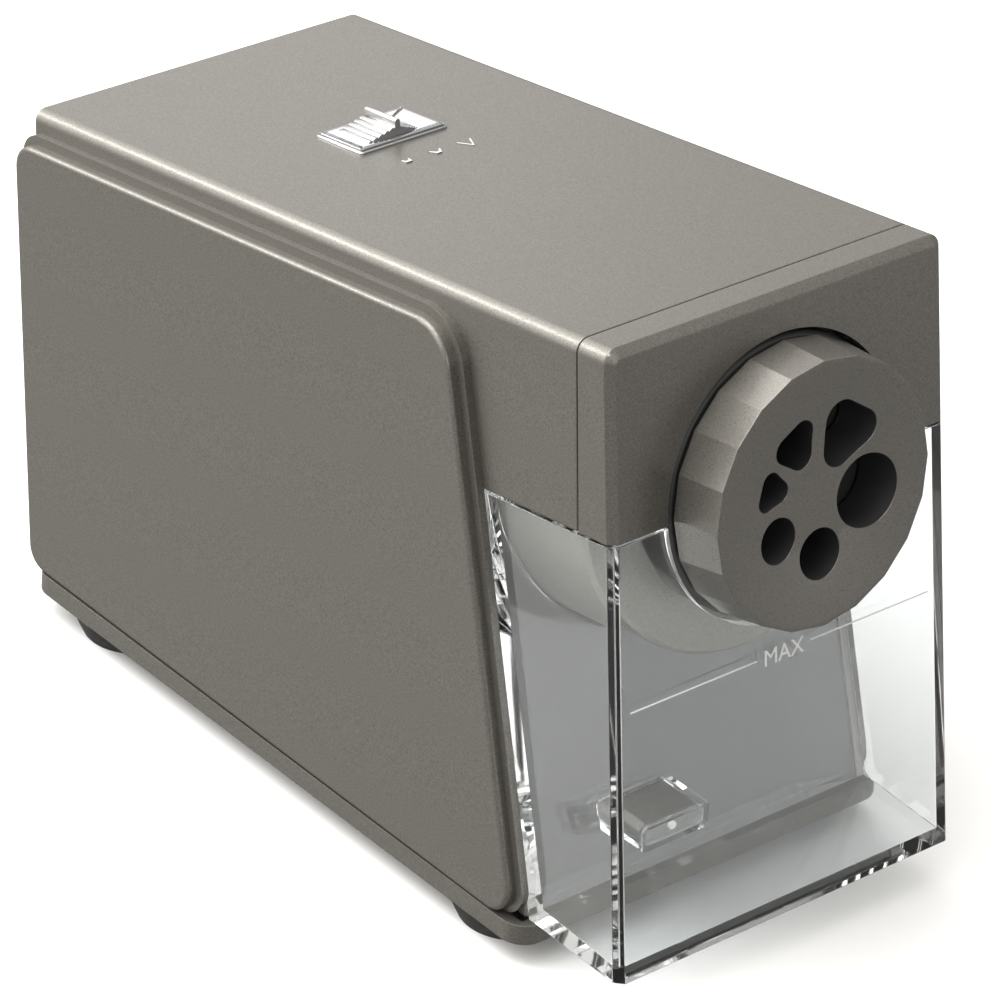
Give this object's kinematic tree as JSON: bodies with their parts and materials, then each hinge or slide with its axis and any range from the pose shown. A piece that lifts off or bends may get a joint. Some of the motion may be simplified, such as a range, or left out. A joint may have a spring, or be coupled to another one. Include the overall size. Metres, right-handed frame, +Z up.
{
  "type": "pencil sharpener",
  "caption": "Electric desk pencil sharpener with a six-hole selector dial, sliding point adjuster and clear pull-out shavings bin.",
  "frame": {"origin": "centre of the footprint of the whole object, on the surface it stands on", "axes": "+Z up, -Y out of the front (the dial and the bin), +X to the right seen from the front"},
  "size_m": [0.091, 0.184, 0.1288],
  "materials": {
    "metallic_paint": "satin metallic paint on moulded plastic",
    "black_plastic": "fine matt texture",
    "grey_plastic": "satin moulded",
    "clear_plastic": "polished clear",
    "chrome": "bright plated",
    "rubber": "matt",
    "brass": "turned",
    "steel": "ground",
    "gear_plastic": "moulded nylon",
    "board": "coated laminate"
  },
  "bodies": {
    "housing": {"top_cover": "metallic_paint", "front_bezel": "metallic_paint", "left_side_panel": "metallic_paint", "right_side_panel": "metallic_paint", "base_tray": "metallic_paint", "front_left_foot": "rubber", "front_right_foot": "rubber", "rear_left_foot": "rubber", "rear_right_foot": "rubber", "base_screws": "steel", "front_bulkhead": "grey_plastic", "interlock_post": "metallic_paint", "bin_switch": "black_plastic", "dial_detent_spring": "steel", "pencil_guide": "black_plastic", "cutter_housing": "metallic_paint", "ring_gear": "gear_plastic", "gear_plate": "steel", "motor_bracket": "steel", "front_bush": "brass", "rear_bush": "brass", "idler_pin": "steel", "gearbox_posts": "steel", "motor_can": "steel", "motor_end_bell": "black_plastic", "motor_bearings": "brass", "motor_magnets": "steel", "slider_frame": "chrome", "point_marks": "chrome", "switch_rail": "grey_plastic", "start_switch": "black_plastic", "lever_pivot": "steel", "circuit_board": "board", "board_parts": "black_plastic", "board_rails": "black_plastic", "mains_inlet": "black_plastic", "inlet_pins": "brass"},
    "dial": {"selector_dial": "metallic_paint", "dial_washer": "steel", "dial_screw": "steel"},
    "bin": {"shavings_bin": "clear_plastic"},
    "plunger": {"interlock_plunger": "gear_plastic"},
    "slider": {"point_slider": "chrome", "slider_plate": "black_plastic"},
    "stop": {"point_stop": "steel"},
    "lever": {"start_lever": "steel"},
    "carrier": {"cutter_carrier": "steel", "drive_gear": "gear_plastic"},
    "cutter": {"helical_cutter": "steel", "cutter_pinion": "steel", "cutter_spindle": "steel"},
    "idler": {"idler_gear": "gear_plastic"},
    "rotor": {"motor_shaft": "steel", "armature": "steel", "commutator": "brass", "motor_pinion": "steel"}
  },
  "joints": [
    {"name": "dial_turn", "type": "hinge", "parent": "housing", "child": "dial", "pos_m": [0, -0.07641, 0.09447], "axis": [0, -0.9875, 0.1575], "continuous": true},
    {"name": "bin_slide", "type": "slide", "parent": "housing", "child": "bin", "axis": [0, -1, 0], "range_m": [0, 0.08]},
    {"name": "plunger_slide", "type": "slide", "parent": "housing", "child": "plunger", "axis": [0, -1, 0], "range_m": [0, 0.0032]},
    {"name": "point_slide", "type": "slide", "parent": "housing", "child": "slider", "axis": [1, 0, 0], "range_m": [0, 0.0022]},
    {"name": "point_stop_slide", "type": "slide", "parent": "housing", "child": "stop", "axis": [0, 0.9875, -0.1575], "range_m": [0, 0.0016]},
    {"name": "start_lever_hinge", "type": "hinge", "parent": "housing", "child": "lever", "pos_m": [0, 0.02373, 0.05824], "axis": [-1, 0, 0], "range_deg": [0, 5], "stiffness_Nm_per_rad": 0.004, "springref_deg": -17.19},
    {"name": "motor_spin", "type": "hinge", "parent": "housing", "child": "rotor", "pos_m": [0.01397, -0.012, 0.03864], "axis": [0, 0.9875, -0.1575], "continuous": true},
    {"name": "idler_spin", "type": "hinge", "parent": "housing", "child": "idler", "pos_m": [-0.00928, -0.02331, 0.04644], "axis": [0, 0.9875, -0.1575], "continuous": true},
    {"name": "carrier_spin", "type": "hinge", "parent": "housing", "child": "carrier", "pos_m": [0, -0.03877, 0.07652], "axis": [0, 0.9875, -0.1575], "continuous": true},
    {"name": "cutter_spin", "type": "hinge", "parent": "carrier", "child": "cutter", "pos_m": [0, -0.03953, 0.08448], "axis": [0, 0.9271, -0.3748], "continuous": true}
  ],
  "couplings": [
    {"joint": "idler_spin", "follows": "motor_spin", "ratio": -0.25},
    {"joint": "carrier_spin", "follows": "motor_spin", "ratio": 0.071429},
    {"joint": "cutter_spin", "follows": "motor_spin", "ratio": -0.22449},
    {"joint": "plunger_slide", "follows": "bin_slide", "ratio": 0.04},
    {"joint": "point_stop_slide", "follows": "point_slide", "ratio": 0.72727}
  ]
}
